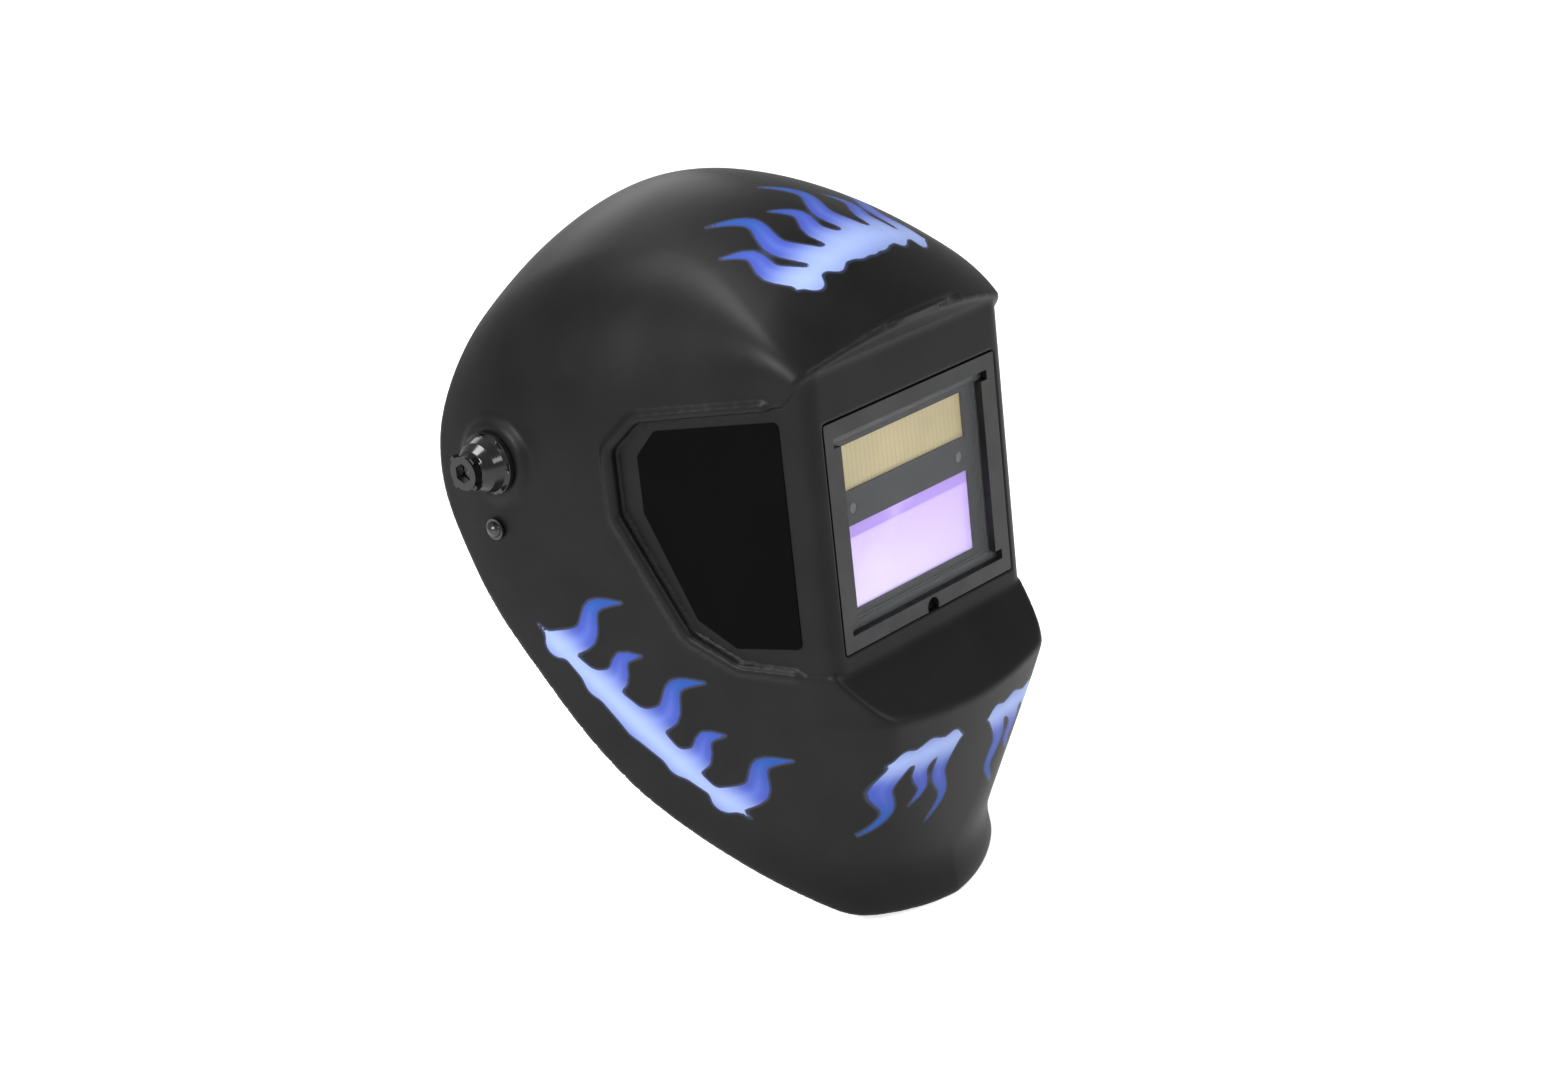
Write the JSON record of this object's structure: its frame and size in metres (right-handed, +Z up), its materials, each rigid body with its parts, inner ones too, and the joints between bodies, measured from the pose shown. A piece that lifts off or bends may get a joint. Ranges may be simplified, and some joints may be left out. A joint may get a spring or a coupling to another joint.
{
  "type": "welding helmet",
  "caption": "Auto-darkening welding helmet: moulded shell with a framed lens window, tilting on side knobs over an adjustable ratchet headband.",
  "frame": {"origin": "midway between the two tilt pivots, on the axis the shell turns about", "axes": "+Z up, -Y the way the wearer looks, +X the wearer's left"},
  "size_m": [0.2744, 0.3283, 0.365],
  "materials": {
    "shell_nylon": "satin moulded nylon with a printed flame pattern",
    "gloss_black": "glossy black",
    "black_plastic": "fine matte",
    "case_plastic": "matte charcoal",
    "clear_cover": "clear polycarbonate",
    "black_rubber": "matte",
    "spring_steel": "plain drawn wire and strip",
    "filter_glass": "violet reflective coating",
    "shade_glass": "greenish",
    "clear_glass": "clear",
    "solar": "olive amorphous cell behind glass",
    "sensor_lens": "dark lens",
    "board_green": "solder mask",
    "cell_steel": "plain",
    "stud_steel": "satin",
    "bolt_steel": "zinc plated",
    "washer_nylon": "natural nylon",
    "knob_plastic": "semi gloss",
    "band_plastic": "fine matte",
    "sweat_fabric": "soft knitted sweat pad"
  },
  "bodies": {
    "headgear": {"headband": "band_plastic", "brow_pad": "sweat_fabric", "side_arm_left": "band_plastic", "side_arm_right": "band_plastic", "arm_rivets": "band_plastic", "pivot_bolt_left": "bolt_steel", "pivot_bolt_right": "bolt_steel", "friction_washer_left": "washer_nylon", "friction_washer_right": "washer_nylon", "knob_washer_left": "bolt_steel", "knob_washer_right": "bolt_steel", "crown_strap_left": "band_plastic", "crown_strap_right": "band_plastic", "crown_pegs": "band_plastic", "ratchet_front_cover": "band_plastic", "ratchet_rear_cover": "band_plastic", "ratchet_screws": "bolt_steel", "detent_spring": "spring_steel", "rear_pad": "sweat_fabric"},
    "shell": {"helmet_shell": "shell_nylon", "side_panel_left": "gloss_black", "side_panel_right": "gloss_black", "front_lens_frame": "black_plastic", "front_cover_lens": "clear_cover", "lens_gasket": "black_rubber", "cartridge_holder": "black_plastic", "retainer_wires": "spring_steel", "cartridge_front": "case_plastic", "cartridge_rear": "case_plastic", "uv_ir_filter": "filter_glass", "lcd_cell_front": "shade_glass", "lcd_cell_rear": "shade_glass", "rear_glass": "clear_glass", "solar_cell": "solar", "arc_sensors": "sensor_lens", "control_board": "board_green", "board_parts": "black_plastic", "coin_cells": "cell_steel", "inner_cover_lens": "clear_cover", "angle_stop_plate": "black_plastic", "stop_stud": "stud_steel", "pivot_spacer": "black_plastic"},
    "tension_knob_left": {"tension_knob_left": "knob_plastic", "knob_nut_left": "bolt_steel"},
    "tension_knob_right": {"tension_knob_right": "knob_plastic", "knob_nut_right": "bolt_steel"},
    "ratchet_knob": {"ratchet_knob": "knob_plastic", "pinion": "band_plastic"},
    "band_tail_left": {"band_tail_left": "band_plastic"},
    "band_tail_right": {"band_tail_right": "band_plastic"},
    "shade_dial": {"shade_dial": "black_plastic"},
    "sensitivity_dial": {"sensitivity_dial": "black_plastic"},
    "delay_switch": {"delay_switch": "black_plastic"}
  },
  "joints": [
    {"name": "shell_tilt", "type": "hinge", "parent": "headgear", "child": "shell", "pos_m": [0, 0, 0], "axis": [-1, 0, 0], "range_deg": [0, 68]},
    {"name": "knob_turn_left", "type": "hinge", "parent": "headgear", "child": "tension_knob_left", "pos_m": [0.125, 0, 0], "axis": [1, 0, 0], "range_deg": [-270, 90]},
    {"name": "knob_turn_right", "type": "hinge", "parent": "headgear", "child": "tension_knob_right", "pos_m": [-0.125, 0, 0], "axis": [-1, 0, 0], "range_deg": [-270, 90]},
    {"name": "ratchet_turn", "type": "hinge", "parent": "headgear", "child": "ratchet_knob", "pos_m": [0, 0, -0.0035], "axis": [0, 0.9455, -0.3256], "range_deg": [-90, 90]},
    {"name": "tail_slide_left", "type": "slide", "parent": "headgear", "child": "band_tail_left", "axis": [1, 0, 0], "range_m": [-0.0079, 0.0079]},
    {"name": "tail_slide_right", "type": "slide", "parent": "headgear", "child": "band_tail_right", "axis": [1, 0, 0], "range_m": [-0.0079, 0.0079]},
    {"name": "shade_turn", "type": "hinge", "parent": "shell", "child": "shade_dial", "pos_m": [0.022, -0.1535, -0.006], "axis": [0, 1, 0], "range_deg": [0, 270]},
    {"name": "sensitivity_turn", "type": "hinge", "parent": "shell", "child": "sensitivity_dial", "pos_m": [-0.022, -0.1535, -0.006], "axis": [0, 1, 0], "range_deg": [0, 270]},
    {"name": "delay_slide", "type": "slide", "parent": "shell", "child": "delay_switch", "axis": [1, 0, 0], "range_m": [-0.0024, 0.0024]}
  ],
  "couplings": [
    {"joint": "tail_slide_left", "follows": "ratchet_turn", "m_per_rad": 0.005},
    {"joint": "tail_slide_right", "follows": "ratchet_turn", "m_per_rad": -0.005}
  ]
}
